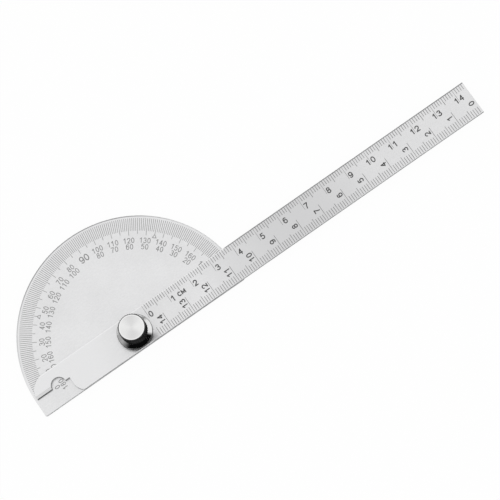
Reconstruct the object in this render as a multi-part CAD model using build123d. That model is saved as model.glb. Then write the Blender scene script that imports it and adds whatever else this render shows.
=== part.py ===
from build123d import *
import math
import os

# A half-round steel protractor with a turning rule arm, in millimetres.
# The origin is on the pivot axis in the plane of the flat back. +X runs along the arm to its free end,
# +Y towards the top of the arc, and +Z from the back to the knob.

# Dial plate
DIAL_RADIUS = 44.6
BASE_SETBACK = 0.1  # from the arm's lower edge in to the dial's straight base
DIAL_THICKNESS = 1.2
DIAL_CORNER_RADIUS = 0.8

# Rule arm
ARM_WIDTH = 14.0
ARM_THICKNESS = 1.0
RULE_MARGIN = 0.65  # from the washer's rim out to the rule's zero line
RULE_LENGTH = 145.0

# Tail of the arm, from its tip inwards along the pivot line
TAIL_INSET = 0.9  # from the dial's rim in to the tip
TIP_HEIGHT = 0.5  # straight end of the tip, below its rounded corner
READING_EDGE = 6.75
WINDOW_RADIUS = 2.85
SHORT_EDGE = 1.85  # reading edge between the window and the cut-away lower half
CUTAWAY_SIDE = 2.5  # straight side of the cut-away, down from the pivot line
CUTAWAY_CORNER_RADIUS = 6.0
BEVEL_WIDTH = 1.0
BEVEL_DEPTH = 0.3

# Rounding of both plates' upper edges, and the largest part of the thickness that it takes
EDGE_RADIUS = 0.3
LARGEST_EDGE_SHARE = 0.45

# Pivot stud
THREAD_RADIUS = 2.0
THREAD_PITCH = 0.7
THREAD_DEPTH_PER_PITCH = 0.54
THREAD_RELIEF = 0.3
SHOULDER_STEP = 1.0  # from the thread's crest out to the shoulder
SHOULDER_SHORTFALL = 0.1  # the shoulder ends below the arm's face, so that the knob can clamp the arm
HEAD_HALF_ANGLE = 45.0

# Cup washer
CUP_SEAT_MARGIN = 0.1  # seat beyond the foot of the knob
CUP_FLARE = 1.75  # from the seat out to the rim
CUP_HEIGHT = 2.0
CUP_LIP = 0.35
CUP_WALL = 0.5

# Lock knob
KNOB_RADIUS = 5.2
KNOB_HEIGHT = 6.2
KNOB_TOP_CHAMFER = 0.45
KNOB_FOOT_CHAMFER = 0.3
KNOB_CROWN = 0.9  # metal left above the tip of the blind bore
KNOB_BORE_SPARE = 0.5  # bore beyond the stud's end when the knob is tight
DRILL_TIP_ANGLE = 30.0
KNURL_PITCH = 0.9
KNURL_DEPTH = 0.25

# Gap between the plates, which keeps the arm off the dial's marks
PLATE_GAP = 0.05

# Radial clearances
PIVOT_CLEARANCE = 0.04
THREAD_CLEARANCE = 0.05
CUP_CLEARANCE = 0.08

# Radii that follow from the sizes above
shoulder_radius = THREAD_RADIUS + SHOULDER_STEP
head_radius = shoulder_radius + DIAL_THICKNESS * math.tan(math.radians(HEAD_HALF_ANGLE))
thread_root = THREAD_RADIUS - THREAD_DEPTH_PER_PITCH * THREAD_PITCH
bore_radius = THREAD_RADIUS + THREAD_CLEARANCE
seat_radius = KNOB_RADIUS - KNOB_FOOT_CHAMFER + CUP_SEAT_MARGIN
rim_radius = seat_radius + CUP_FLARE

# Heights from the back
arm_bottom = DIAL_THICKNESS + PLATE_GAP
arm_top = arm_bottom + ARM_THICKNESS
shoulder_top = arm_top - SHOULDER_SHORTFALL
knob_bottom = arm_top + CUP_HEIGHT
knob_top = knob_bottom + KNOB_HEIGHT
bore_tip = knob_top - KNOB_CROWN
bore_end = bore_tip - bore_radius * math.tan(math.radians(DRILL_TIP_ANGLE))
stud_top = bore_end - KNOB_BORE_SPARE

# Reaches from the pivot
half_width = ARM_WIDTH / 2
dial_skirt = half_width - BASE_SETBACK
arm_reach = rim_radius + RULE_MARGIN + RULE_LENGTH
tail_reach = DIAL_RADIUS - TAIL_INSET
window_reach = tail_reach - READING_EDGE - WINDOW_RADIUS
cutaway_reach = window_reach - WINDOW_RADIUS - SHORT_EDGE

# Two points closer than this are one point
SAME_POINT = 0.001


def rounded_upper_edges(plate, thickness, stays_sharp=lambda edge: False):
    """Plate with the outer edges of its upper face rounded, but for those that stay sharp."""
    upper_face = plate.faces().sort_by(Axis.Z)[-1]
    edges = [edge for edge in upper_face.outer_wire().edges() if not stays_sharp(edge)]
    return fillet(edges, min(EDGE_RADIUS, LARGEST_EDGE_SHARE * thickness))


def revolved(points):
    """Solid of revolution about the pivot axis, from (radius, height) points."""
    profile = Polyline(*[(radius, 0, height) for radius, height in points], close=True)
    return revolve(make_face(profile), Axis.Z)


def dial_outline():
    """Half disc on a straight-sided skirt with small lower corners."""
    corner = DIAL_CORNER_RADIUS
    left = Line((-DIAL_RADIUS, 0), (-DIAL_RADIUS, corner - dial_skirt))
    left_corner = TangentArc(left @ 1, (corner - DIAL_RADIUS, -dial_skirt), tangent=(0, -1))
    base = Line(left_corner @ 1, (DIAL_RADIUS - corner, -dial_skirt))
    right_corner = TangentArc(base @ 1, (DIAL_RADIUS, corner - dial_skirt), tangent=(1, 0))
    right = Line(right_corner @ 1, (DIAL_RADIUS, 0))
    rim = ThreePointArc((DIAL_RADIUS, 0), (0, DIAL_RADIUS), (-DIAL_RADIUS, 0))
    return make_face(Wire([left, left_corner, base, right_corner, right, rim]))


def dial_plate():
    """Half-round plate with a countersunk hole for the stud's head."""
    plate = rounded_upper_edges(extrude(dial_outline(), DIAL_THICKNESS), DIAL_THICKNESS)
    countersink = revolved([(0, 0), (head_radius, 0), (shoulder_radius, DIAL_THICKNESS), (0, DIAL_THICKNESS)])
    return plate - countersink


def arm_outline():
    """Rule with its tail: rounded corner, reading edge, half-round window and cut-away lower half."""
    tail_corner = half_width - TIP_HEIGHT
    window_left = -window_reach - WINDOW_RADIUS
    window_right = -window_reach + WINDOW_RADIUS
    cut_height = min(half_width - CUTAWAY_SIDE, CUTAWAY_CORNER_RADIUS)
    cut_run = CUTAWAY_CORNER_RADIUS - math.sqrt(CUTAWAY_CORNER_RADIUS**2 - cut_height**2)
    lower_left = (cut_run - cutaway_reach, -half_width)

    lower_edge = Line(lower_left, (arm_reach, -half_width))
    end = Line(lower_edge @ 1, (arm_reach, half_width))
    upper_edge = Line(end @ 1, (tail_corner - tail_reach, half_width))
    corner = TangentArc(upper_edge @ 1, (-tail_reach, TIP_HEIGHT), tangent=(-1, 0))
    tip = Line(corner @ 1, (-tail_reach, 0))
    reading_edge = Line(tip @ 1, (window_left, 0))
    window = ThreePointArc((window_left, 0), (-window_reach, WINDOW_RADIUS), (window_right, 0))
    short_edge = Line(window @ 1, (-cutaway_reach, 0))
    cut_side = Line(short_edge @ 1, (-cutaway_reach, cut_height - half_width))
    cut_corner = TangentArc(cut_side @ 1, lower_left, tangent=(0, -1))
    tail = [corner, tip, reading_edge, window, short_edge, cut_side, cut_corner]
    return make_face(Wire([lower_edge, end, upper_edge, *tail]))


def is_reading_edge(edge):
    """True for both reading edges and the window between them, which start and end on the pivot line."""
    return abs((edge @ 0).Y) < SAME_POINT and abs((edge @ 1).Y) < SAME_POINT


def reading_bevel():
    """Wedge that thins the reading edge between the tip of the tail and the window."""
    overrun = 1.0
    rise = overrun * BEVEL_DEPTH / BEVEL_WIDTH
    section = Polyline(
        (BEVEL_WIDTH + overrun, arm_top + rise),
        (-overrun, arm_top - BEVEL_DEPTH - rise),
        (-overrun, arm_top + rise),
        close=True,
    )
    start = -tail_reach - overrun
    across_the_tip = Plane(origin=(start, 0, 0), x_dir=(0, 1, 0), z_dir=(1, 0, 0))
    return extrude(across_the_tip * make_face(section), -window_reach - start)


def rule_arm():
    """Long rule that turns on the stud's shoulder and reads the dial with its tail."""
    blade = extrude(arm_outline(), ARM_THICKNESS)
    blade = rounded_upper_edges(blade, ARM_THICKNESS, stays_sharp=is_reading_edge)
    bore = Cylinder(shoulder_radius + PIVOT_CLEARANCE, 4 * ARM_THICKNESS)
    return Pos(0, 0, arm_bottom) * (blade - bore) - reading_bevel()


def thread_rings(start, end):
    """Outline of the thread as rings of its pitch, in (radius, height) points from start to end."""
    root_flat = THREAD_PITCH / 4
    crest_flat = THREAD_PITCH / 8
    flank = (THREAD_PITCH - root_flat - crest_flat) / 2
    first_ring = start + THREAD_RELIEF
    points = [(thread_root, start)]
    for turn in range(int((end - first_ring) / THREAD_PITCH)):
        flank_bottom = first_ring + turn * THREAD_PITCH + root_flat
        points.append((thread_root, flank_bottom))
        points.append((THREAD_RADIUS, flank_bottom + flank))
        points.append((THREAD_RADIUS, flank_bottom + flank + crest_flat))
        points.append((thread_root, flank_bottom + flank + crest_flat + flank))
    points.append((thread_root, end))
    return points


def pivot_stud():
    """Flush-headed stud with a plain shoulder for the arm and a threaded end for the knob."""
    head = [(0, 0), (head_radius, 0), (shoulder_radius, DIAL_THICKNESS)]
    shoulder = [(shoulder_radius, shoulder_top)]
    return revolved(head + shoulder + thread_rings(shoulder_top, stud_top) + [(0, stud_top)])


def cup_washer():
    """Dished washer: a flat seat for the knob on a conical wall that presses on the arm at its rim."""
    flare_per_height = CUP_FLARE / (CUP_HEIGHT - CUP_LIP)
    wall_across = CUP_WALL * math.hypot(1, flare_per_height)
    hole_radius = THREAD_RADIUS + CUP_CLEARANCE
    points = [
        (hole_radius, knob_bottom),
        (seat_radius, knob_bottom),
        (rim_radius, arm_top + CUP_LIP),
        (rim_radius, arm_top),
        (rim_radius + flare_per_height * CUP_LIP - wall_across, arm_top),
        (seat_radius + flare_per_height * CUP_WALL - wall_across, knob_bottom - CUP_WALL),
        (hole_radius, knob_bottom - CUP_WALL),
    ]
    return revolved(points)


def knurl_grooves():
    """V grooves along the knob's side, a whole number of them around it."""
    overrun = 0.1
    groove = Polyline(
        (KNOB_RADIUS - KNURL_DEPTH, 0),
        (KNOB_RADIUS + overrun, -KNURL_DEPTH - overrun),
        (KNOB_RADIUS + overrun, KNURL_DEPTH + overrun),
        close=True,
    )
    count = round(2 * math.pi * KNOB_RADIUS / KNURL_PITCH)
    ring = Sketch() + PolarLocations(0, count) * make_face(groove)
    return Pos(0, 0, knob_bottom) * extrude(ring, KNOB_HEIGHT)


def lock_knob():
    """Knurled clamping knob with a flat top and a blind bore over the stud's thread."""
    points = [
        (bore_radius, knob_bottom),
        (KNOB_RADIUS - KNOB_FOOT_CHAMFER, knob_bottom),
        (KNOB_RADIUS, knob_bottom + KNOB_FOOT_CHAMFER),
        (KNOB_RADIUS, knob_top - KNOB_TOP_CHAMFER),
        (KNOB_RADIUS - KNOB_TOP_CHAMFER, knob_top),
        (0, knob_top),
        (0, bore_tip),
        (bore_radius, bore_end),
    ]
    return revolved(points) - knurl_grooves()


PARTS = {
    "dial_plate": dial_plate,
    "pivot_stud": pivot_stud,
    "rule_arm": rule_arm,
    "cup_washer": cup_washer,
    "lock_knob": lock_knob,
}

os.makedirs("parts", exist_ok=True)
for name, make in PARTS.items():
    export_step(make(), f"parts/{name}.step")
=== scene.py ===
import math

import bmesh
import bpy
from mathutils import Matrix, Vector


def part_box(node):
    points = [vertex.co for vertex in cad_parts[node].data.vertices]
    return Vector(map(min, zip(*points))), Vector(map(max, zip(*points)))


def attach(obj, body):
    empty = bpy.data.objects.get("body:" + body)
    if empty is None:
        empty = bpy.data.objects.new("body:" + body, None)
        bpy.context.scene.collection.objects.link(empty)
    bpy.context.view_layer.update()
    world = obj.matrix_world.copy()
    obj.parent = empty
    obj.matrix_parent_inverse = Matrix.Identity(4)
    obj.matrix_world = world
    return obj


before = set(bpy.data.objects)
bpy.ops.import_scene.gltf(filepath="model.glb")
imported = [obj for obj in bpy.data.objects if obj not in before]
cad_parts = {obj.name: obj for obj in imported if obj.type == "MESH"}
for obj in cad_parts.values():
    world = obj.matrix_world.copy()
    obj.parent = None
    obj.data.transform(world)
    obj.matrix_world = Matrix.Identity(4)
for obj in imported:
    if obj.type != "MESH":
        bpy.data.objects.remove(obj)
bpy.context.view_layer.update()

# A steel protractor with a turning rule arm, lying on its flat back. Sizes are in metres.
MM = 0.001

# Levels and reaches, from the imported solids
_, dial_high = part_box("dial_plate")
_, arm_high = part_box("rule_arm")
_, washer_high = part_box("cup_washer")
_, knob_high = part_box("lock_knob")
DIAL_FACE = dial_high[2]
ARM_FACE = arm_high[2]
DIAL_RADIUS = dial_high[1]
ARM_HALF_WIDTH = arm_high[1]
ARM_END = arm_high[0]
RIM_RADIUS = washer_high[0]
KNOB_RADIUS = knob_high[0]

# Directions on a plate's face, and angles in degrees
RIGHT = Vector((1, 0))
UP = Vector((0, 1))
RIGHT_ANGLE = 90
HALF_TURN = 180

# Etched marks stand a hair proud of the steel and reach a little into it. Each further stroke of a sign
# stands a little higher, so that no two of their tops share a plane
MARK_RISE = 0.015 * MM
MARK_SINK = 0.01 * MM
STROKE_STEP = 0.001 * MM

# A stroke is a closed loop if its ends lie nearer than this share of its width. The widening at a sharp bend
# is limited by a least cosine, a round end has so many steps, and signs in a row have this space between
CLOSED_SHARE = 0.01
LEAST_COSINE = 0.5
ROUND_END_STEPS = 6
DIGIT_SPACE = 0.3 * MM

# Marks from one number to the next, on the rule as on the dial
NUMBER_STEP = 10

# Scales of the rule: zero at the knob on the upper edge, and at the free end on the lower edge
RULE_LENGTH = 145
RULE_START = ARM_END - RULE_LENGTH * MM
TICK_INSET = 0.3 * MM
UPPER_TICKS = {1: 2.5 * MM, 5: 3.6 * MM, 10: 5.75 * MM}
LOWER_TICKS = {1: 2.95 * MM, 5: 3.75 * MM, 10: 6.95 * MM}
UPPER_TICK_WIDTHS = {1: 0.21 * MM, 5: 0.21 * MM, 10: 0.13 * MM}
LOWER_TICK_WIDTHS = {1: 0.21 * MM, 5: 0.19 * MM, 10: 0.18 * MM}

# Numbers of the rule: each digit's width and height, and its place past its centimetre line and up the arm's
# width
RULE_STROKE = 0.4 * MM
UPPER_DIGIT_FOOT = 0.99 * MM
UPPER_DIGIT_HEIGHT = 2.42 * MM
SINGLE_DIGIT = {"start": 0.45 * MM, "width": 1.6 * MM}
FIRST_DIGIT = {"start": -1.5 * MM, "width": 1.4 * MM}
SECOND_DIGIT = {"start": 0.5 * MM, "width": 1.65 * MM}
LOWER_DIGITS = (1.6 * MM, 2.35 * MM)
LOWER_DIGIT_MIDDLE = -1.79 * MM
LOWER_DIGIT_GAP = 0.52 * MM

# Single numbers of the rule that stand aside of the even spacing
UPPER_ASIDES = {"3": 0.15 * MM, "4": 0.2 * MM, "5": 0.2 * MM, "6": 0.4 * MM}
LOWER_ASIDES = {"0": -0.2 * MM, "3": -0.2 * MM, "5": -0.3 * MM, "6": 0.2 * MM}

# The unit: its place on the arm, and each sign's name, start and width
UNIT_PLACE = Vector((20.72 * MM, 1.27 * MM))
UNIT_SIGNS = (("c", 0.0, 1.42 * MM), ("m", 1.6 * MM, 1.75 * MM))
UNIT_HEIGHT = 1.85 * MM

# Scale of the dial: degree ticks run in from a blank margin at the rim, and two end in a hollow triangle
TICK_OUTER = 43.55 * MM
TICK_INNER = {1: 38.7 * MM, 5: 37.5 * MM, 10: 37.0 * MM}
DIAL_TICK = 0.2 * MM
TRIANGLE_READINGS = (45, 135)
TRIANGLE_APEX = 37.67 * MM
TRIANGLE_BASE = 36.4 * MM
TRIANGLE_WIDTH = 1.46 * MM

# Numbers of the dial: two rows on circles of their own, with a larger right angle between them. An aside
# shifts a number clockwise past its tick, or back if it is negative. The inner row has one on its left half
# alone, and some numbers by the arm have their own
DIAL_DIGITS = (1.2 * MM, 2.1 * MM)
DIAL_STROKE = 0.25 * MM
OUTER_DIGIT_FOOT = 34.0 * MM
INNER_DIGIT_FOOT = 31.6 * MM
OUTER_ASIDE = -0.15 * MM
INNER_ASIDE = -0.45 * MM
OUTER_ASIDES_BY_ARM = {10: 0.2 * MM, 170: 0.0}
INNER_ASIDES_BY_ARM = {10: 0.2 * MM}
RIGHT_ANGLE_DIGITS = (1.75 * MM, 2.75 * MM)
RIGHT_ANGLE_STROKE = 0.38 * MM
RIGHT_ANGLE_FOOT = 33.2 * MM


# Flat marks: strokes drawn as ribbons with round ends

def arc(middle, radii, start, end, steps=14):
    """Points along an ellipse, between two angles in degrees."""
    angles = [math.radians(start + (end - start) * i / steps) for i in range(steps + 1)]
    return [(middle[0] + radii[0] * math.cos(a), middle[1] + radii[1] * math.sin(a)) for a in angles]


# Each sign is a list of strokes in a box of width 1 and height 1
SIGNS = {
    "0": [arc((0.5, 0.5), (0.5, 0.5), 90, 450, 28)],
    "1": [[(0.1, 0.74), (0.62, 1.0)], [(0.62, 1.0), (0.62, 0.0)]],
    "2": [arc((0.5, 0.7), (0.5, 0.3), 170, -38) + [(0.0, 0.0)], [(0.0, 0.0), (1.0, 0.0)]],
    "3": [arc((0.45, 0.765), (0.45, 0.235), 155, -90), arc((0.45, 0.265), (0.55, 0.265), 90, -150)],
    "4": [[(0.74, 0.0), (0.74, 1.0)], [(0.74, 1.0), (0.0, 0.3)], [(0.0, 0.3), (1.0, 0.3)]],
    "5": [
        [(0.92, 1.0), (0.16, 1.0)],
        [(0.16, 1.0), (0.08, 0.53)],
        arc((0.46, 0.33), (0.54, 0.33), 136, -145),
    ],
    "6": [
        arc((0.5, 0.32), (0.5, 0.32), 0, 360, 22),
        arc((0.52, 0.62), (0.52, 0.38), 42, 180, 10) + [(0.0, 0.32)],
    ],
    "7": [[(0.0, 1.0), (1.0, 1.0)], [(1.0, 1.0), (0.52, 0.42), (0.34, 0.0)]],
    "8": [arc((0.5, 0.765), (0.43, 0.235), -90, 270, 22), arc((0.5, 0.265), (0.5, 0.265), 90, 450, 24)],
    "9": [
        arc((0.5, 0.68), (0.5, 0.32), 0, 360, 22),
        arc((0.48, 0.38), (0.52, 0.38), 222, 360, 10) + [(1.0, 0.68)],
    ],
    "c": [arc((0.55, 0.5), (0.55, 0.5), 48, 312, 18)],
    "m": [
        [(0.0, 0.0), (0.0, 1.0)],
        [(0.0, 1.0), (0.5, 0.12)],
        [(0.5, 0.12), (1.0, 1.0)],
        [(1.0, 1.0), (1.0, 0.0)],
    ],
}


class Marks:
    """Gathers flat marks on one plate and turns them into one mesh."""

    def __init__(self, face):
        self.face = face
        self.mesh = bmesh.new()

    def corners(self, outline, lift):
        """Vertices of an outline, at the foot and at the top of a mark."""
        low = self.face - MARK_SINK
        high = self.face + MARK_RISE + lift
        bottom = [self.mesh.verts.new((x, y, low)) for x, y in outline]
        top = [self.mesh.verts.new((x, y, high)) for x, y in outline]
        return bottom, top

    def band(self, ring, following):
        """Faces all round between two rings of vertices."""
        for i in range(len(ring)):
            j = (i + 1) % len(ring)
            self.mesh.faces.new((ring[i], ring[j], following[j], following[i]))

    def line(self, start, end, width):
        """Straight mark with square ends."""
        start, end = Vector(start), Vector(end)
        along = (end - start).normalized()
        across = Vector((-along.y, along.x)) * width / 2
        bottom, top = self.corners([start - across, end - across, end + across, start + across], 0.0)
        self.mesh.faces.new(top)
        self.mesh.faces.new(reversed(bottom))
        self.band(bottom, top)

    def ribbon(self, points, width, lift):
        """Stroke of even width with round ends, or a closed loop where its ends meet."""
        closed = (points[0] - points[-1]).length < width * CLOSED_SHARE
        if closed:
            self.loop(points[:-1], width, lift)
            return
        runs = [(b - a).normalized() for a, b in zip(points, points[1:])]
        left, right = [], []
        for i, point in enumerate(points):
            before = runs[max(i - 1, 0)]
            after = runs[min(i, len(runs) - 1)]
            across = miter(before, after) * width / 2
            left.append(point + across)
            right.append(point - across)
        outline = right + round_end(points[-1], runs[-1], width) + left[::-1]
        outline += round_end(points[0], -runs[0], width)
        self.strip(outline, len(points), lift)

    def strip(self, outline, count, lift):
        """Stroke's slab, cut across at each of its points so that no face is bent back on itself."""
        ends = ROUND_END_STEPS - 1
        bottom, top = self.corners(outline, lift)
        right = list(range(count))
        far_end = list(range(count - 1, count + ends + 1))
        left = list(range(2 * count + ends - 1, count + ends - 1, -1))
        near_end = list(range(2 * count + ends - 1, len(outline))) + [0]
        cells = [(right[i], right[i + 1], left[i + 1], left[i]) for i in range(count - 1)]
        for cell in cells + [far_end, near_end]:
            self.mesh.faces.new([top[i] for i in cell])
            self.mesh.faces.new([bottom[i] for i in reversed(cell)])
        self.band(bottom, top)

    def loop(self, points, width, lift):
        """Closed stroke: a ring of cells between an inner and an outer wall."""
        count = len(points)
        sides = []
        for side in (-1, 1):
            edge = []
            for i, point in enumerate(points):
                before = (point - points[i - 1]).normalized()
                after = (points[(i + 1) % count] - point).normalized()
                edge.append(point + miter(before, after) * side * width / 2)
            sides.append(self.corners(edge, lift))
        (right_low, right_high), (left_low, left_high) = sides
        self.band(right_high, left_high)
        self.band(left_low, right_low)
        self.band(right_low, right_high)
        self.band(left_high, left_low)

    def sign(self, name, corner, size, stroke, right, up):
        """One sign in a box: its lower left corner, (width, height), and the directions of its sides."""
        width, height = size[0] - stroke, size[1] - stroke
        for number, points in enumerate(SIGNS[name]):
            placed = []
            for x, y in points:
                placed.append(corner + right * (stroke / 2 + x * width) + up * (stroke / 2 + y * height))
            self.ribbon(placed, stroke, number * STROKE_STEP)

    def text(self, words, corner, size, stroke, right, up):
        """Row of signs from a lower left corner."""
        for sign in words:
            self.sign(sign, corner, size, stroke, right, up)
            corner = corner + right * (size[0] + DIGIT_SPACE)

    def piece(self, name, body, finish):
        """The gathered marks as one object that rides on its body."""
        bmesh.ops.recalc_face_normals(self.mesh, faces=self.mesh.faces)
        mesh = bpy.data.meshes.new(name)
        self.mesh.to_mesh(mesh)
        self.mesh.free()
        mesh.materials.append(finish)
        marks = bpy.data.objects.new(name, mesh)
        bpy.context.scene.collection.objects.link(marks)
        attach(marks, body)


def miter(before, after):
    """Vector across a stroke at one of its points, as long as keeps the stroke's width."""
    middle = (before + after).normalized()
    return Vector((-middle.y, middle.x)) / max(middle.dot(after), LEAST_COSINE)


def round_end(middle, direction, width):
    """Points of a half circle beyond a stroke's end, counterclockwise, without its two corners."""
    start = math.atan2(direction.y, direction.x) - math.pi / 2
    angles = [start + math.pi * i / ROUND_END_STEPS for i in range(1, ROUND_END_STEPS)]
    return [middle + Vector((math.cos(a), math.sin(a))) * width / 2 for a in angles]


def text_width(words, size):
    return len(words) * (size[0] + DIGIT_SPACE) - DIGIT_SPACE


# Shader maths on sockets

class Value:
    """A number that varies over a surface, written as an ordinary expression."""

    def __init__(self, finish, socket):
        self.finish = finish
        self.socket = socket

    def _math(self, operation, *values):
        node = self.finish.node("ShaderNodeMath", {"operation": operation})
        for socket, value in zip(node.inputs, values):
            self.finish.feed(socket, value)
        return Value(self.finish, node.outputs[0])

    def __add__(self, other):
        return self._math("ADD", self, other)

    __radd__ = __add__

    def __sub__(self, other):
        return self._math("SUBTRACT", self, other)

    def __rsub__(self, other):
        return self._math("SUBTRACT", other, self)

    def __mul__(self, other):
        return self._math("MULTIPLY", self, other)

    __rmul__ = __mul__

    def __truediv__(self, other):
        return self._math("DIVIDE", self, other)

    def __abs__(self):
        return self._math("ABSOLUTE", self)

    def least(self, other):
        return self._math("MINIMUM", self, other)

    def length_with(self, other):
        return self._math("SQRT", self * self + other * other)

    def angle_with(self, other):
        """Angle whose tangent is this value over the other, in radians."""
        return self._math("ARCTAN2", self, other)

    def ramp(self, low, high):
        """0 below low, 1 above high and a smooth rise between."""
        smooth = {"interpolation_type": "SMOOTHSTEP"}
        node = self.finish.node("ShaderNodeMapRange", smooth, Value=self, From_Min=low, From_Max=high)
        return Value(self.finish, node.outputs[0])


class Finish:
    """A node material, or the tree of another thing, and the nodes that the finishes below share."""

    def __init__(self, name, tree=None):
        if tree is None:
            self.material = bpy.data.materials.new(name)
            self.material.use_nodes = True
            tree = self.material.node_tree
        self.tree = tree
        tree.nodes.clear()

    def node(self, kind, settings=None, **sockets):
        """Any node: its type, its settings, then the values or links of its sockets."""
        node = self.tree.nodes.new(kind)
        for name, value in (settings or {}).items():
            setattr(node, name, value)
        for name, value in sockets.items():
            self.feed(node.inputs[name.replace("_", " ")], value)
        return node

    def feed(self, socket, value):
        """Links a socket to what varies, or sets it to what is the same all over."""
        if isinstance(value, Value):
            value = value.socket
        if isinstance(value, bpy.types.NodeSocket):
            self.tree.links.new(value, socket)
        else:
            socket.default_value = value

    def value(self, socket):
        return Value(self, socket)

    def place(self):
        """Object coordinates, as a vector and as three values in metres."""
        coordinates = self.node("ShaderNodeTexCoord").outputs["Object"]
        parts = self.node("ShaderNodeSeparateXYZ", Vector=coordinates).outputs
        return coordinates, [self.value(part) for part in parts]

    def upward(self):
        """How far a surface faces up: 1 on the flat tops, 0 on upright walls."""
        normal = self.node("ShaderNodeTexCoord").outputs["Normal"]
        return abs(self.value(self.node("ShaderNodeSeparateXYZ", Vector=normal).outputs["Z"]))

    def vector(self, x, y, z):
        return self.node("ShaderNodeCombineXYZ", X=x, Y=y, Z=z).outputs[0]

    def noise(self, place, scale, detail):
        """Noise about a half."""
        node = self.node("ShaderNodeTexNoise", Vector=place, Scale=scale, Detail=detail)
        return self.value(node.outputs[0])

    def lathe_rings(self, radius, z, scale):
        """Noise that runs round the axis and changes with the radius and the height."""
        return self.noise(self.vector(radius * scale, 0.0, z * scale), 1.0, detail=3.0)

    def mix(self, factor, first, second):
        """Colour between two colours."""
        node = self.node("ShaderNodeMix", {"data_type": "RGBA"})
        sides = [socket for socket in node.inputs if socket.type == "RGBA"]
        self.feed(node.inputs[0], factor)
        for socket, colour in zip(sides, (first, second)):
            varies = isinstance(colour, bpy.types.NodeSocket)
            self.feed(socket, colour if varies else (*colour, 1.0))
        return next(socket for socket in node.outputs if socket.type == "RGBA")

    def bump(self, height, distance, strength):
        node = self.node("ShaderNodeBump", Strength=strength, Distance=distance, Height=height)
        return node.outputs[0]

    def glow(self, tone):
        return self.node("ShaderNodeEmission", Color=(*tone, 1), Strength=1.0).outputs[0]

    def blend(self, factor, first, second):
        """Shader between two shaders."""
        node = self.node("ShaderNodeMixShader", Fac=factor)
        self.feed(node.inputs[1], first)
        self.feed(node.inputs[2], second)
        return node.outputs[0]

    def surface(self, shader):
        self.node("ShaderNodeOutputMaterial", Surface=shader)
        return self.material

    def metal(self, colour, roughness, normal, metallic=1.0, shine=0.5):
        """Principled surface; the shine is that of its parts which aren't bare metal."""
        shader = self.node(
            "ShaderNodeBsdfPrincipled",
            Base_Color=colour,
            Metallic=metallic,
            Roughness=roughness,
            Normal=normal,
            Specular_IOR_Level=shine,
        )
        return self.surface(shader.outputs[0])


def varied(middle, noises, shares):
    """A value that noises move up and down, each by its own share."""
    for noise, share in zip(noises, shares):
        middle = middle + (noise - 0.5) * share
    return middle


def between(value, low, high, blur):
    """1 where a value lies between two limits, with soft borders."""
    return value.ramp(low - blur, low + blur) * (1 - value.ramp(high - blur, high + blur))


# Steel of the plates: scales of the grain along X and Y, of the patches and of the speckle, the tones they
# mix, and their shares in the tone (grain, patches, speckle) and in the roughness (patches, grain)
DIAL_GRAIN = (420.0, 5200.0)
ARM_GRAIN = (160.0, 7000.0)
PATCH_SCALE = 55.0
SPECKLE_SCALE = 1900.0
DIAL_TONES = ((0.695, 0.695, 0.7), (0.825, 0.825, 0.83))
ARM_TONES = ((0.675, 0.675, 0.68), (0.8, 0.8, 0.805))
TONE_RANGE = (0.1, 0.9)
PLATE_TONE_SHARES = (0.5, 0.55, 0.4)
PLATE_ROUGHNESS = 0.32
PLATE_ROUGHNESS_SHARES = (0.12, 0.1)
SPECKLE_HEIGHT = 0.5
PLATE_BUMP = {"distance": 0.0035 * MM, "strength": 0.6}

# Upright sheared walls of the plates: dull steel, darkened further as painted shade. Their dark layer and the
# painted shade lines are uneven: each cover is a base and the share of a noise, and the range runs from none
# to all
WALL_FACING = (0.03, 0.15)
WALL_ROUGHNESS = 0.2
WALL_COVER = (0.6, 0.6)
SHADE_LINE_COVER = (0.75, 0.4)
COVER_RANGE = (0.4, 1.1)
# Dull sheared steel, darkened further as painted shade
SHEARED_AND_SHADED_WALL = (0.26, 0.26, 0.265)
# Dark steel of the painted shade lines and of the painted shadow by the knob
PAINTED_SHADE_STEEL = (0.27, 0.27, 0.275)

# A thin line along an outline, full up to the first distance inwards and gone at the second
EDGE_LINE = (0.34 * MM, 0.58 * MM)

# Painted shade line along the dial's round edge: it begins low on the sides, is weaker at the right,
# strongest at the top
EDGE_SHADE_SIDES = (5.0 * MM, 25.0 * MM)
EDGE_SHADE_RIGHT = (20.0 * MM, 38.0 * MM)
SIDES_SHARE = 0.4
TOP_SHARE = 0.6
RIGHT_LOSS = 0.6

# Painted light of the rule: painted shade about its middle, painted light at the tail, an upper edge with a
# painted highlight over the dial and a painted shade line beyond, and a painted shadow by the knob
# Painted shade about the middle of the rule and painted light at its tail
SHADE_MIDDLE = 72.0 * MM
SHADE_REACH = (4.0 * MM, 46.0 * MM)
SHADED_MIDDLE_STEEL = (0.62, 0.62, 0.625)
SHADE_MIDDLE_SHARE = 0.85
LIT_TAIL = (-20.0 * MM, 0.0)
LIT_TAIL_STEEL = (0.8, 0.8, 0.805)
LIT_TAIL_SHARE = 0.8
EDGE_HIGHLIGHT_REACH = 44.8 * MM
EDGE_HIGHLIGHT_BLUR = 0.5 * MM
# Painted highlight on rounded edges
PAINTED_HIGHLIGHT = (0.93, 0.93, 0.93)
EDGE_HIGHLIGHT_SHARE = 0.6
# Painted shadow beside the washer
PAINTED_SHADOW_SPOT = (5.1 * MM, -5.6 * MM)
PAINTED_SHADOW_REACH = (0.2 * MM, 3.0 * MM)
PAINTED_SHADOW_SHARE = 0.6

# Reading edges on the pivot line, on both sides of a half-round window. They carry a painted black shadow
# from a little below the line to a little inwards, less on the short edge past the window. The long one has a
# ground bevel
READING_START = -43.55 * MM
READING_END = -29.5 * MM
READING_BLUR = 0.03 * MM
READING_FOOT = (-0.3 * MM, -0.1 * MM)
SHADOW_REACH = (0.12 * MM, 0.2 * MM)
# Painted black shadow along the reading edges
PAINTED_SHADOW_BLACK = (0.02, 0.02, 0.02)
WINDOW_MIDDLE = -34.1 * MM
WINDOW_RADIUS = 2.85 * MM
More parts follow.
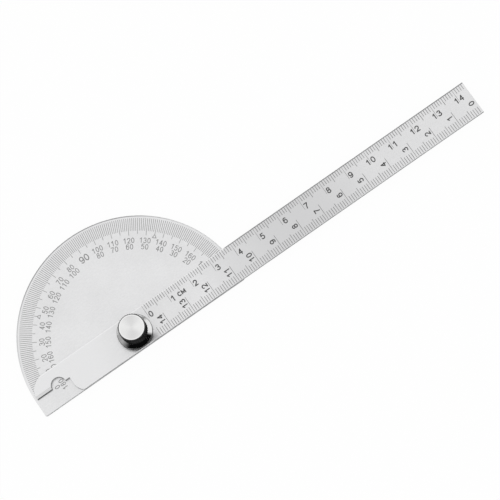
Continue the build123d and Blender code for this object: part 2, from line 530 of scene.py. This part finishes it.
# Walls round the window carry less painted shade than the other walls
WINDOW_WALL_LESS_SHADED = (0.55, 0.55, 0.555)
WINDOW_WALL_REACH = (0.05 * MM, 0.1 * MM)
WINDOW_BLUR = 0.1 * MM
THIN_ARC = 0.04 * MM
SHORT_EDGE_LOSS = 0.6
BEVEL_FOOT = 0.1 * MM
BEVEL_WIDTH = 1.0 * MM
BEVEL_BLUR = 0.05 * MM
GROUND_BEVEL = (0.62, 0.62, 0.62)
BEVEL_SHARE = 0.7
# Painted shade along the bevel's upper border
BORDER_END = 1.2 * MM
BEVEL_BORDER_SHADE = (0.5, 0.5, 0.5)
BORDER_SHARE = 0.6


def cover(noise, base, share):
    """How much of a layer lies on the steel, made uneven by a noise."""
    return (base + noise * share).ramp(*COVER_RANGE)


def plate_steel(name, grain_scales, tones, own_look):
    """Satin plate: long fine grain, slow patches and dull sheared walls with painted shade, then the plate's
    own look.
    """
    finish = Finish(name)
    place, (x, y, z) = finish.place()
    grain = finish.noise(finish.vector(x * grain_scales[0], y * grain_scales[1], z), 1.0, detail=4.0)
    patches = finish.noise(place, PATCH_SCALE, detail=3.0)
    speckle = finish.noise(place, SPECKLE_SCALE, detail=2.0)
    wall = 1 - finish.upward().ramp(*WALL_FACING)
    shade = varied(0.5, (grain, patches, speckle), PLATE_TONE_SHARES)
    colour = finish.mix(shade.ramp(*TONE_RANGE), *tones)
    roughness = varied(PLATE_ROUGHNESS, (patches, grain), PLATE_ROUGHNESS_SHARES) + wall * WALL_ROUGHNESS
    # Upright walls: dull sheared steel with painted shade
    sheared_and_shaded = wall * cover(grain, *WALL_COVER)
    colour = own_look(finish, x, y, patches, sheared_and_shaded, colour)
    normal = finish.bump(grain + speckle * SPECKLE_HEIGHT, **PLATE_BUMP)
    return finish.metal(colour, roughness, normal)


def edge_line(inwards, reach):
    """How much of a thin line lies here: from the distance inwards of an outline, and where it reaches."""
    return (1 - inwards.ramp(*EDGE_LINE)) * reach


def tarnish(finish, line, patches, colour):
    """Painted shade: dark, patchy steel along a line."""
    return finish.mix(line * cover(patches, *SHADE_LINE_COVER), colour, PAINTED_SHADE_STEEL)


def dial_look(finish, x, y, patches, sheared_and_shaded, colour):
    """The dial has a painted shade line along its round edge, most of all at the top of the arc, and walls
    with painted shade.
    """
    reach = y.ramp(*EDGE_SHADE_SIDES) * (1 - x.ramp(*EDGE_SHADE_RIGHT) * RIGHT_LOSS) * SIDES_SHARE
    reach = reach + y.ramp(EDGE_SHADE_SIDES[1], DIAL_RADIUS) * TOP_SHARE
    line = edge_line(DIAL_RADIUS - x.length_with(y), reach)
    # Painted shade along the round edge
    colour = tarnish(finish, line, patches, colour)
    return finish.mix(sheared_and_shaded, colour, SHEARED_AND_SHADED_WALL)


def rule_look(finish, x, y, patches, sheared_and_shaded, colour):
    """The rule: its painted light and shade, and the bevel, the painted black shadow on its edges and the
    walls where it is read.
    """
    colour = rule_wear(finish, x, y, patches, colour)
    colour = reading_bevel(finish, x, y, colour)
    from_window = (x - WINDOW_MIDDLE).length_with(y) - WINDOW_RADIUS
    # Painted black shadow along the reading edges and round the window
    colour = finish.mix(blackened_edges(x, y, from_window), colour, PAINTED_SHADOW_BLACK)
    # Upright walls with painted shade, lighter round the window
    colour = finish.mix(sheared_and_shaded, colour, SHEARED_AND_SHADED_WALL)
    window_wall = 1 - from_window.ramp(*WINDOW_WALL_REACH)
    return finish.mix(sheared_and_shaded * window_wall, colour, WINDOW_WALL_LESS_SHADED)


def rule_wear(finish, x, y, patches, colour):
    """Painted light: darker middle, lighter tail, upper edge lit over the dial and shaded beyond, and a
    shadow.
    """
    # Painted shade about the middle of the rule and painted light at its tail
    middle = 1 - abs(x - SHADE_MIDDLE).ramp(*SHADE_REACH)
    colour = finish.mix(middle * SHADE_MIDDLE_SHARE, colour, SHADED_MIDDLE_STEEL)
    tail = 1 - x.ramp(*LIT_TAIL)
    colour = finish.mix(tail * LIT_TAIL_SHARE, colour, LIT_TAIL_STEEL)
    # Upper edge: a painted highlight over the dial and a painted shade line beyond
    free = (x - EDGE_HIGHLIGHT_REACH).ramp(-EDGE_HIGHLIGHT_BLUR, EDGE_HIGHLIGHT_BLUR)
    edge_highlight = edge_line(ARM_HALF_WIDTH - y, 1 - free)
    colour = finish.mix(edge_highlight * EDGE_HIGHLIGHT_SHARE, colour, PAINTED_HIGHLIGHT)
    colour = tarnish(finish, edge_line(ARM_HALF_WIDTH - y, free), patches, colour)
    # Painted shadow on the arm beside the washer's near side
    painted_shadow = 1 - (x - PAINTED_SHADOW_SPOT[0]).length_with(y - PAINTED_SHADOW_SPOT[1]).ramp(*PAINTED_SHADOW_REACH)
    return finish.mix(painted_shadow * PAINTED_SHADOW_SHARE, colour, PAINTED_SHADE_STEEL)


def reading_bevel(finish, x, y, colour):
    """Ground strip above the long reading edge, with a border painted darker as painted shade at the crease.
    """
    beside = between(x, READING_START, WINDOW_MIDDLE, WINDOW_BLUR)
    bevel = beside * between(y, BEVEL_FOOT, BEVEL_WIDTH, BEVEL_BLUR)
    # Painted shade along the bevel's upper border
    shaded_border = beside * between(y, BEVEL_WIDTH, BORDER_END, BEVEL_BLUR)
    colour = finish.mix(bevel * BEVEL_SHARE, colour, GROUND_BEVEL)
    return finish.mix(shaded_border * BORDER_SHARE, colour, BEVEL_BORDER_SHADE)


def blackened_edges(x, y, from_window):
    """How much painted black shadow lies along the rule's reading edges and round its window."""
    inwards = y.least(from_window + THIN_ARC)
    window_end = WINDOW_MIDDLE + WINDOW_RADIUS
    short = x.ramp(window_end - WINDOW_BLUR, window_end + WINDOW_BLUR)
    reading = between(x, READING_START, READING_END, READING_BLUR) * y.ramp(*READING_FOOT)
    return reading * (1 - short * SHORT_EDGE_LOSS) * (1 - inwards.ramp(*SHADOW_REACH))


# Steel of the knob: shares of rings and cloud in the tone, and of cloud and rings in the roughness. A painted
# reflection lies on its top: a fan of two light and two dark sectors, as light falls on a turned face
KNOB_RING_SCALE = 7000.0
KNOB_CLOUD_SCALE = 260.0
KNOB_TONES = ((0.66, 0.66, 0.66), (0.86, 0.86, 0.855))
KNOB_TONE_RANGE = (0.15, 0.85)
KNOB_TONE_SHARES = (0.3, 0.35)
KNOB_ROUGHNESS = 0.2
KNOB_ROUGHNESS_SHARES = (0.1, 0.06)
KNOB_BUMP = {"distance": 0.002 * MM, "strength": 0.4}
REFLECTION_FAN_AZIMUTH = -30.0
REFLECTION_FAN_CORE = 0.8 * MM
REFLECTION_FAN_SHARE = 0.16

# Painted highlight ring near the top's edge, then the chamfer's painted shade, lighter on the far side, and
# the knurl
PAINTED_HIGHLIGHT_RING = (KNOB_RADIUS - 0.85 * MM, KNOB_RADIUS - 0.4 * MM)
PAINTED_HIGHLIGHT_RING_BLUR = 0.12 * MM
PAINTED_HIGHLIGHT_RING_SHARE = 0.6
CHAMFER_FACING = (0.35, 0.93)
CHAMFER_BLUR = 0.05
# Chamfer painted dark as painted shade, lighter on the far side
SHADED_CHAMFER_STEEL = (0.22, 0.22, 0.22)
CHAMFER_PAINTED_LIGHT = (-4.0 * MM, 3.0 * MM)
KNURL_FACING = (0.3, 0.4)
# The knurl is painted near black as a painted dark reflection
PAINTED_DARK_KNURL_TONES = ((0.006, 0.006, 0.006), (0.035, 0.035, 0.035))
KNURL_PATCH_RANGE = (0.3, 0.75)
KNURL_ROUGHNESS = 0.2
KNURL_NON_METAL = 0.95


def light_fan(x, y):
    """Painted reflection: two light and two dark sectors about the middle, from -1 to 1, that fade out at a
    small core.
    """
    turn = math.radians(2 * REFLECTION_FAN_AZIMUTH)
    sectors = (x * x - y * y) * math.cos(turn) + x * y * (2 * math.sin(turn))
    return sectors / (x * x + y * y + REFLECTION_FAN_CORE * REFLECTION_FAN_CORE)


def turned_steel(name):
    """Turned knob: a cloudy top with painted reflection and highlight, and painted shade on chamfer and
    knurl.
    """
    finish = Finish(name)
    place, (x, y, z) = finish.place()
    radius = x.length_with(y)
    rings = finish.lathe_rings(radius, z, KNOB_RING_SCALE)
    cloud = finish.noise(place, KNOB_CLOUD_SCALE, detail=2.0)
    facing = finish.upward()
    chamfer = between(facing, *CHAMFER_FACING, CHAMFER_BLUR)
    knurl = 1 - facing.ramp(*KNURL_FACING)
    # Painted reflection fan on the top
    shade = varied(0.5 + light_fan(x, y) * REFLECTION_FAN_SHARE, (rings, cloud), KNOB_TONE_SHARES)
    colour = finish.mix(shade.ramp(*KNOB_TONE_RANGE), *KNOB_TONES)
    # Painted highlight ring near the top's edge
    highlight_ring = between(radius, *PAINTED_HIGHLIGHT_RING, PAINTED_HIGHLIGHT_RING_BLUR)
    colour = finish.mix(highlight_ring * PAINTED_HIGHLIGHT_RING_SHARE, colour, PAINTED_HIGHLIGHT)
    # Chamfer painted dark as painted shade, lighter on the far side
    edge = finish.mix(y.ramp(*CHAMFER_PAINTED_LIGHT), PAINTED_DARK_KNURL_TONES[1], SHADED_CHAMFER_STEEL)
    colour = finish.mix(chamfer, colour, edge)
    # Knurl painted near black: a painted dark reflection
    painted_dark_knurl = finish.mix(cloud.ramp(*KNURL_PATCH_RANGE), *PAINTED_DARK_KNURL_TONES)
    colour = finish.mix(knurl, colour, painted_dark_knurl)
    roughness = varied(KNOB_ROUGHNESS, (cloud, rings), KNOB_ROUGHNESS_SHARES) + knurl * KNURL_ROUGHNESS
    normal = finish.bump(rings, **KNOB_BUMP)
    return finish.metal(colour, roughness, normal, metallic=1 - knurl * KNURL_NON_METAL, shine=0.0)


# Steel of the stud: shares of rings and cloud in the tone, and of cloud and rings in the roughness
STUD_RING_SCALE = 6000.0
STUD_CLOUD_SCALE = 420.0
STUD_TONES = ((0.5, 0.5, 0.51), (0.74, 0.74, 0.745))
STUD_TONE_SHARES = (0.7, 0.8)
STUD_ROUGHNESS = 0.26
STUD_ROUGHNESS_SHARES = (0.1, 0.1)
STUD_BUMP = {"distance": 0.004 * MM, "strength": 0.6}


def stud_steel(name):
    """Plain turned steel with rings from the lathe."""
    finish = Finish(name)
    place, (x, y, z) = finish.place()
    rings = finish.lathe_rings(x.length_with(y), z, STUD_RING_SCALE)
    cloud = finish.noise(place, STUD_CLOUD_SCALE, detail=3.0)
    shade = varied(0.5, (rings, cloud), STUD_TONE_SHARES)
    colour = finish.mix(shade.ramp(*TONE_RANGE), *STUD_TONES)
    roughness = varied(STUD_ROUGHNESS, (cloud, rings), STUD_ROUGHNESS_SHARES)
    normal = finish.bump(rings, **STUD_BUMP)
    return finish.metal(colour, roughness, normal)


# Plating of the washer, and its rim, painted dark as painted shade, darker on the near side
WASHER_CLOUD_SCALE = 600.0
WASHER_TONES = ((0.74, 0.74, 0.74), (0.82, 0.82, 0.82))
CLOUD_RANGE = (0.3, 0.7)
WASHER_ROUGHNESS = 0.13
WASHER_ROUGHNESS_SHARES = (0.06,)
WASHER_BUMP = {"distance": 0.0004 * MM, "strength": 0.5}
RIM_REACH = (RIM_RADIUS - 0.3 * MM, RIM_RADIUS - 0.1 * MM)
RIM_LIGHT = (-4.0 * MM, 0.0)
RIM_LIGHT_LOSS = 0.3
SHADED_RIM = (0.06, 0.06, 0.06)
RIM_ROUGHNESS = 0.1
RIM_COVER = 0.9


def bright_steel(name):
    """Pressed and plated washer: nearly a mirror, with a dull rim painted dark as painted shade."""
    finish = Finish(name)
    place, (x, y, _) = finish.place()
    cloud = finish.noise(place, WASHER_CLOUD_SCALE, detail=3.0)
    # Painted shade on the rim, strongest on the near side
    shaded_rim = x.length_with(y).ramp(*RIM_REACH) * (1 - y.ramp(*RIM_LIGHT) * RIM_LIGHT_LOSS)
    colour = finish.mix(cloud.ramp(*CLOUD_RANGE), *WASHER_TONES)
    colour = finish.mix(shaded_rim, colour, SHADED_RIM)
    roughness = varied(WASHER_ROUGHNESS, (cloud,), WASHER_ROUGHNESS_SHARES) + shaded_rim * RIM_ROUGHNESS
    normal = finish.bump(cloud, **WASHER_BUMP)
    return finish.metal(colour, roughness, normal, metallic=1 - shaded_rim * RIM_COVER, shine=0.0)


# Etched marks: the dark and the light tone of each kind, and its roughness
ETCHED = {
    "etched_rule": {"dark": (0.03, 0.03, 0.03), "light": (0.085, 0.085, 0.085), "roughness": 0.6},
    "etched_rule_ticks": {"dark": (0.12, 0.12, 0.12), "light": (0.25, 0.25, 0.25), "roughness": 0.55},
    "etched_dial_ticks": {"dark": (0.2, 0.2, 0.2), "light": (0.36, 0.36, 0.36), "roughness": 0.55},
    "etched_dial": {"dark": (0.15, 0.15, 0.15), "light": (0.28, 0.28, 0.28), "roughness": 0.55},
}
BURN_SCALE = 5200.0
BURN_CLOUD_SCALE = 300.0
BURN_SHARE = 0.6
BURN_ROUGHNESS_SHARES = (0.1,)
BURN_BUMP = {"distance": 0.004 * MM, "strength": 0.6}


def etched(name, dark, light, roughness):
    """Marks burnt into the steel: dull, with a broken, uneven tone."""
    finish = Finish(name)
    place, _ = finish.place()
    burn = finish.noise(place, BURN_SCALE, detail=3.0)
    cloud = finish.noise(place, BURN_CLOUD_SCALE, detail=2.0)
    shade = burn * BURN_SHARE + cloud * (1 - BURN_SHARE)
    colour = finish.mix(shade.ramp(*CLOUD_RANGE), dark, light)
    roughness = varied(roughness, (burn,), BURN_ROUGHNESS_SHARES)
    normal = finish.bump(burn, **BURN_BUMP)
    return finish.metal(colour, roughness, normal, metallic=0.0)


# Marks of the rule arm

def tick_kind(count):
    """Spacing that a mark belongs to: tens, fives or ones."""
    return 10 if count % 10 == 0 else 5 if count % 5 == 0 else 1


def rule_ticks(finish):
    """Millimetre ticks along both edges of the arm; the arm's own end is the last one."""
    marks = Marks(ARM_FACE)
    for step in range(RULE_LENGTH):
        x = RULE_START + step * MM
        upper = tick_kind(step)
        start = ARM_HALF_WIDTH - TICK_INSET
        marks.line((x, start), (x, ARM_HALF_WIDTH - UPPER_TICKS[upper]), UPPER_TICK_WIDTHS[upper])
        lower = tick_kind(RULE_LENGTH - step)
        start = TICK_INSET - ARM_HALF_WIDTH
        marks.line((x, start), (x, LOWER_TICKS[lower] - ARM_HALF_WIDTH), LOWER_TICK_WIDTHS[lower])
    marks.piece("rule_ticks", "arm", finish)


def upper_number(marks, words, line):
    """Number of the upper edge: one digit stands right of its line, and two stand astride it."""
    places = [SINGLE_DIGIT] if len(words) == 1 else [FIRST_DIGIT, SECOND_DIGIT]
    line += UPPER_ASIDES.get(words, 0.0)
    for sign, place in zip(words, places):
        corner = Vector((line + place["start"], UPPER_DIGIT_FOOT))
        marks.sign(sign, corner, (place["width"], UPPER_DIGIT_HEIGHT), RULE_STROKE, RIGHT, UP)


def lower_number(marks, words, line):
    """Number of the lower edge, turned a quarter so that it reads up the arm."""
    line += LOWER_ASIDES.get(words, 0.0)
    span = text_width(words, LOWER_DIGITS)
    corner = Vector((line - LOWER_DIGIT_GAP, LOWER_DIGIT_MIDDLE - span / 2))
    marks.text(words, corner, LOWER_DIGITS, RULE_STROKE, UP, -RIGHT)


def rule_numbers(finish):
    """Centimetre numbers of both edges, and the unit beside the upper one."""
    marks = Marks(ARM_FACE)
    for count in range(RULE_LENGTH // NUMBER_STEP + 1):
        upper_number(marks, str(count), RULE_START + NUMBER_STEP * count * MM)
        lower_number(marks, str(count), ARM_END - NUMBER_STEP * count * MM)
    for sign, start, width in UNIT_SIGNS:
        marks.sign(sign, UNIT_PLACE + RIGHT * start, (width, UNIT_HEIGHT), RULE_STROKE, RIGHT, UP)
    marks.piece("rule_numbers", "arm", finish)


# Marks of the dial

def outward(reading):
    """Direction from the pivot towards a reading of the outer row, which counts from the left end."""
    angle = math.radians(HALF_TURN - reading)
    return Vector((math.cos(angle), math.sin(angle)))


def degree_ticks(finish):
    """A tick for each degree, with a hollow triangle at the end of two of them."""
    marks = Marks(DIAL_FACE)
    for reading in range(HALF_TURN + 1):
        out = outward(reading)
        marks.line(out * TICK_INNER[tick_kind(reading)], out * TICK_OUTER, DIAL_TICK)
    for reading in TRIANGLE_READINGS:
        out = outward(reading)
        side = Vector((out.y, -out.x)) * TRIANGLE_WIDTH / 2
        corners = [out * TRIANGLE_APEX, out * TRIANGLE_BASE - side, out * TRIANGLE_BASE + side]
        for number, corner in enumerate(corners):
            following = corners[(number + 1) % len(corners)]
            marks.ribbon([corner, following], DIAL_STROKE, number * STROKE_STEP)
    marks.piece("degree_ticks", "dial", finish)


def dial_number(marks, number, reading, foot, aside=0.0, size=DIAL_DIGITS, stroke=DIAL_STROKE):
    """Number that stands on a circle about the pivot, upright to someone looking in from the rim."""
    up = outward(reading)
    right = Vector((up.y, -up.x))
    words = str(number)
    corner = up * foot + right * (aside - text_width(words, size) / 2)
    marks.text(words, corner, size, stroke, right, up)


def degree_numbers(finish):
    """Two rows of tens that count opposite ways, most a little aside of their ticks, and one right angle."""
    marks = Marks(DIAL_FACE)
    for reading in range(0, HALF_TURN + 1, NUMBER_STEP):
        if reading == RIGHT_ANGLE:
            continue
        outer_aside = OUTER_ASIDES_BY_ARM.get(reading, OUTER_ASIDE)
        inner_aside = INNER_ASIDES_BY_ARM.get(reading, INNER_ASIDE if reading < RIGHT_ANGLE else 0.0)
        dial_number(marks, reading, reading, OUTER_DIGIT_FOOT, outer_aside)
        dial_number(marks, HALF_TURN - reading, reading, INNER_DIGIT_FOOT, inner_aside)
    right_angle = {"size": RIGHT_ANGLE_DIGITS, "stroke": RIGHT_ANGLE_STROKE}
    dial_number(marks, RIGHT_ANGLE, RIGHT_ANGLE, RIGHT_ANGLE_FOOT, **right_angle)
    marks.piece("degree_numbers", "dial", finish)


# Surroundings

FLOOR_SIZE = 6.0
FLOOR_DROP = 0.05 * MM
FLOOR_WHITE_SHARE = 0.95
PAPER = (0.86, 0.86, 0.86)
WHITE = (1.0, 1.0, 1.0)

# Screens that only the steel sees: three dark ones on the floor, from corner to corner, and a small one about
# the washer's near side, which the cone mirrors
FLOOR_SCREENS = {
    "near_floor_screen": ((-120.0 * MM, -300.0 * MM), (200.0 * MM, -9.5 * MM)),
    "far_floor_screen": ((-120.0 * MM, 36.0 * MM), (200.0 * MM, 300.0 * MM)),
    "rule_floor_screen": ((49.0 * MM, 7.6 * MM), (200.0 * MM, 36.0 * MM)),
}
ROUND_SCREEN = {"radius": 6.8 * MM, "azimuths": (-205, -30), "levels": (ARM_FACE + 0.02 * MM, 5.3 * MM)}
ROUND_STEPS = 36

# The small screen is black in its middle, grey towards the tail and white towards the rule. The ends begin at
# these turns from the near side towards the rule
GREY_END = (math.radians(-89), math.radians(-52))
WHITE_END = (math.radians(40), math.radians(56))
GREY_TONE = (0.46, 0.46, 0.46)
BLACK_TONE = (0.004, 0.004, 0.004)


def staged(name, points, faces, finish):
    """A sheet of the studio."""
    mesh = bpy.data.meshes.new(name)
    mesh.from_pydata(points, [], faces)
    mesh.materials.append(finish)
    sheet = bpy.data.objects.new(name, mesh)
    bpy.context.scene.collection.objects.link(sheet)
    return sheet


def floor_sheet(name, low, high, level, finish):
    """Level sheet between two corners."""
    corners = [(low[0], low[1]), (high[0], low[1]), (high[0], high[1]), (low[0], high[1])]
    return staged(name, [(x, y, level) for x, y in corners], [(0, 1, 2, 3)], finish)


def round_screen(name, radius, azimuths, levels, finish):
    """Upright screen that stands round the pivot between two azimuths in degrees."""
    points = []
    for i in range(ROUND_STEPS + 1):
        angle = math.radians(azimuths[0] + (azimuths[1] - azimuths[0]) * i / ROUND_STEPS)
        x, y = radius * math.cos(angle), radius * math.sin(angle)
        points += [(x, y, levels[0]), (x, y, levels[1])]
    faces = [(2 * i, 2 * i + 2, 2 * i + 3, 2 * i + 1) for i in range(ROUND_STEPS)]
    return staged(name, points, faces, finish)


def seen_by_steel_only(sheet):
    sheet.visible_camera = False
    sheet.visible_diffuse = False
    sheet.visible_shadow = False
    sheet.visible_transmission = False


def floor_finish():
    """White paper that keeps a faint shadow."""
    finish = Finish("floor_white")
    paper = finish.node("ShaderNodeBsdfDiffuse", Color=(*PAPER, 1)).outputs[0]
    rays = finish.node("ShaderNodeLightPath").outputs
    seen = finish.value(rays["Is Camera Ray"]) + finish.value(rays["Is Glossy Ray"])
    seen = (seen + finish.value(rays["Is Transmission Ray"])).ramp(0.0, 1.0)
    return finish.surface(finish.blend(seen * FLOOR_WHITE_SHARE, paper, finish.glow(WHITE)))


def black_screen():
    finish = Finish("screen_black")
    return finish.surface(finish.glow(BLACK_TONE))


def graded_screen():
    """Black that turns grey towards one end and white towards the other."""
    finish = Finish("screen_graded")
    _, (x, y, _) = finish.place()
    turn = x.angle_with(0 - y)
    darkened = finish.blend(turn.ramp(*GREY_END), finish.glow(GREY_TONE), finish.glow(BLACK_TONE))
    return finish.surface(finish.blend(turn.ramp(*WHITE_END), darkened, finish.glow(WHITE)))


def lay_out_studio():
    """Floor, dark screens and an even white world."""
    half = FLOOR_SIZE / 2
    floor_sheet("floor", (-half, -half), (half, half), -FLOOR_DROP, floor_finish())
    black = black_screen()
    for name, (low, high) in FLOOR_SCREENS.items():
        seen_by_steel_only(floor_sheet(name, low, high, -FLOOR_DROP / 2, black))
    seen_by_steel_only(round_screen("round_screen", finish=graded_screen(), **ROUND_SCREEN))
    world = bpy.context.scene.world or bpy.data.worlds.new("studio")
    bpy.context.scene.world = world
    world.use_nodes = True
    finish = Finish("studio", world.node_tree)
    background = finish.node("ShaderNodeBackground", Color=(*WHITE, 1), Strength=1.0)
    finish.node("ShaderNodeOutputWorld", Surface=background.outputs[0])


# Camera of the photograph: its place and aim, its turn from +Y towards +X, its lens and sensor in
# millimetres, and how far it sees
CAMERA_PLACE = Vector((6.88 * MM, -299.72 * MM, 1123.09 * MM))
CAMERA_AIM = Vector((52.11 * MM, 0.57 * MM, 2.25 * MM))
CAMERA_TURN = math.radians(34.309)
CAMERA_LENS = 226.35
SENSOR = 36.0
CAMERA_REACH = 20.0


def photo_camera():
    """Looks down at the protractor, turned so that the arm rises to the right."""
    camera = bpy.data.objects.new("camera", bpy.data.cameras.new("camera"))
    camera.data.lens = CAMERA_LENS
    camera.data.sensor_width = SENSOR
    camera.data.clip_end = CAMERA_REACH
    forward = (CAMERA_AIM - CAMERA_PLACE).normalized()
    right = forward.cross(Vector((math.sin(CAMERA_TURN), math.cos(CAMERA_TURN), 0))).normalized()
    up = right.cross(forward)
    axes = Matrix((right, up, -forward)).transposed().to_4x4()
    camera.matrix_world = Matrix.Translation(CAMERA_PLACE) @ axes
    bpy.context.scene.collection.objects.link(camera)
    bpy.context.scene.camera = camera


def dress_node(node, finish):
    """Gives a solid its finish."""
    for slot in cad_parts[node].material_slots:
        slot.material = finish


dress_node("dial_plate", plate_steel("dial_satin", DIAL_GRAIN, DIAL_TONES, dial_look))
dress_node("rule_arm", plate_steel("arm_satin", ARM_GRAIN, ARM_TONES, rule_look))
dress_node("pivot_stud", stud_steel("stud_turned"))
dress_node("cup_washer", bright_steel("washer_bright"))
dress_node("lock_knob", turned_steel("knob_turned"))

etchings = {name: etched(name, **look) for name, look in ETCHED.items()}
rule_ticks(etchings["etched_rule_ticks"])
rule_numbers(etchings["etched_rule"])
degree_ticks(etchings["etched_dial_ticks"])
degree_numbers(etchings["etched_dial"])

lay_out_studio()
photo_camera()

bpy.context.scene.view_settings.view_transform = "Standard"
